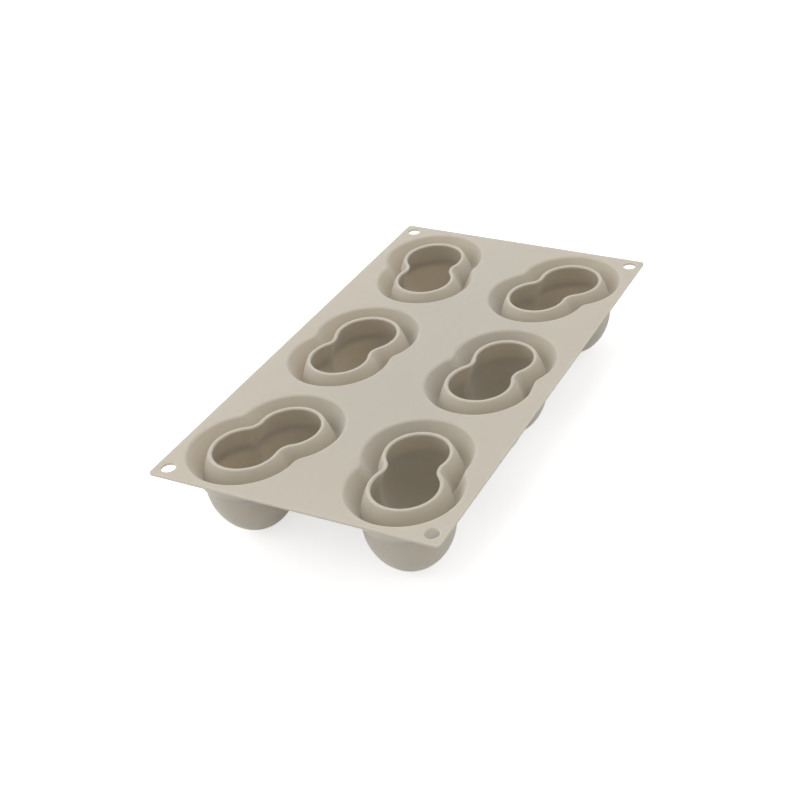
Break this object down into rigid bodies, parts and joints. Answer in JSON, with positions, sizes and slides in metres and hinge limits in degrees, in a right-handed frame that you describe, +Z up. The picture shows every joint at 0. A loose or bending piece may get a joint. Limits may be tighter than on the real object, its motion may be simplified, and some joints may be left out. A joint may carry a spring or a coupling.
{
  "type": "silicone cake mold",
  "caption": "Flexible rectangular baking sheet with peanut-shaped, round-bellied cups, each with a thin rim inside a deep moat, and a hanging hole at each corner.",
  "frame": {"origin": "middle of the sheet's footprint, at the height of the lowest points of the bowls, which is what the mold stands on", "axes": "+Z up out of the cups' mouths, +Y along the long side of the sheet, +X along its short side"},
  "size_m": [0.175, 0.3, 0.052],
  "materials": {
    "silicone": "satin"
  },
  "bodies": {
    "root": {"flange_sheet": "silicone", "moat_wall_far_left": "silicone", "moat_wall_far_right": "silicone", "moat_wall_mid_left": "silicone", "moat_wall_mid_right": "silicone", "moat_wall_near_left": "silicone", "moat_wall_near_right": "silicone", "collar_far_left": "silicone", "collar_far_right": "silicone", "collar_mid_left": "silicone", "collar_mid_right": "silicone", "collar_near_left": "silicone", "collar_near_right": "silicone", "bowl_far_left": "silicone", "bowl_far_right": "silicone", "bowl_mid_left": "silicone", "bowl_mid_right": "silicone", "bowl_near_left": "silicone", "bowl_near_right": "silicone"}
  },
  "joints": []
}
